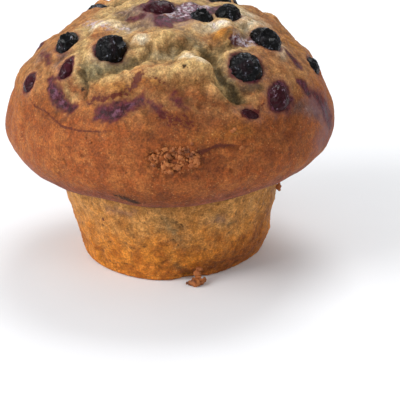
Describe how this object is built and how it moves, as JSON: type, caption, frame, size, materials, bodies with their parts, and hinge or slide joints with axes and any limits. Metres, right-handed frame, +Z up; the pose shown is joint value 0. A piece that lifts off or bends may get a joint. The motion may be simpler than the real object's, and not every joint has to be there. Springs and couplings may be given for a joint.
{
  "type": "berry muffin",
  "caption": "Muffin without its paper case: a wide cracked mushroom top over a tapered stump that stands on its flat foot, with whole and burst dark berries in the crust.",
  "frame": {"origin": "under the middle of the muffin's outline, on the surface that it stands on", "axes": "+Z up, -Y towards the front, whose crust is cracked open over its full width, +X to the right seen from the front"},
  "size_m": [0.0978, 0.098, 0.0793],
  "materials": {
    "crust": "baked cake, matte: golden brown crust with a fine sugary grain, paler open crumb in its cracks",
    "berry_skin": "blue-black wrinkled berry skin, satin to glossy",
    "burst_berry_skin": "dark red burst berry, wet in places"
  },
  "bodies": {
    "root": {"cake": "crust", "berry_01": "berry_skin", "berry_02": "berry_skin", "berry_03": "berry_skin", "berry_04": "berry_skin", "berry_05": "berry_skin", "berry_06": "berry_skin", "berry_07": "berry_skin", "berry_08": "berry_skin", "berry_09": "berry_skin", "berry_10": "berry_skin", "berry_11": "berry_skin", "berry_12": "berry_skin", "berry_13": "berry_skin", "berry_14": "berry_skin", "berry_15": "berry_skin", "burst_berry_01": "burst_berry_skin", "burst_berry_02": "burst_berry_skin", "burst_berry_03": "burst_berry_skin", "burst_berry_04": "burst_berry_skin", "burst_berry_05": "burst_berry_skin", "burst_berry_06": "burst_berry_skin"}
  },
  "joints": []
}
